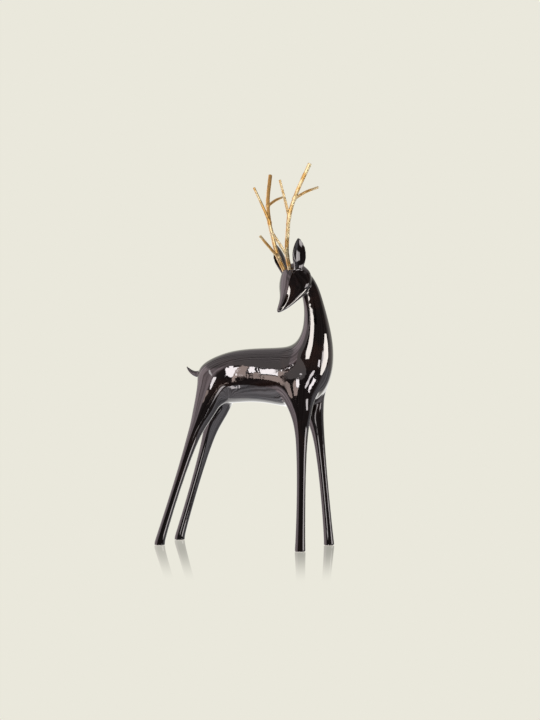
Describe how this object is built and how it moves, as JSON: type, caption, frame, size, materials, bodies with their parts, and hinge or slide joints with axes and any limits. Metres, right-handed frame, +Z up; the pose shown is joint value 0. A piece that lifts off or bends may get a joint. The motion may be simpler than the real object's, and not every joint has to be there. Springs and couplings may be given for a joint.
{
  "type": "ceramic deer figurine",
  "caption": "Slender glossy black ceramic deer standing on thin legs, its head turned back over its shoulder, with gold metal antlers.",
  "frame": {"origin": "middle of the figure's bounding box, on the level of the hooves' soles", "axes": "+X the way the chest faces, +Y the deer's left, +Z up"},
  "size_m": [0.1866, 0.0862, 0.388],
  "materials": {
    "black_glaze": "mirror gloss black lustre glaze with a faint mauve brown tint",
    "antler_gold": "satin cast metal with a gold finish"
  },
  "bodies": {
    "root": {"deer": "black_glaze", "antler_left": "antler_gold", "antler_right": "antler_gold"}
  },
  "joints": []
}
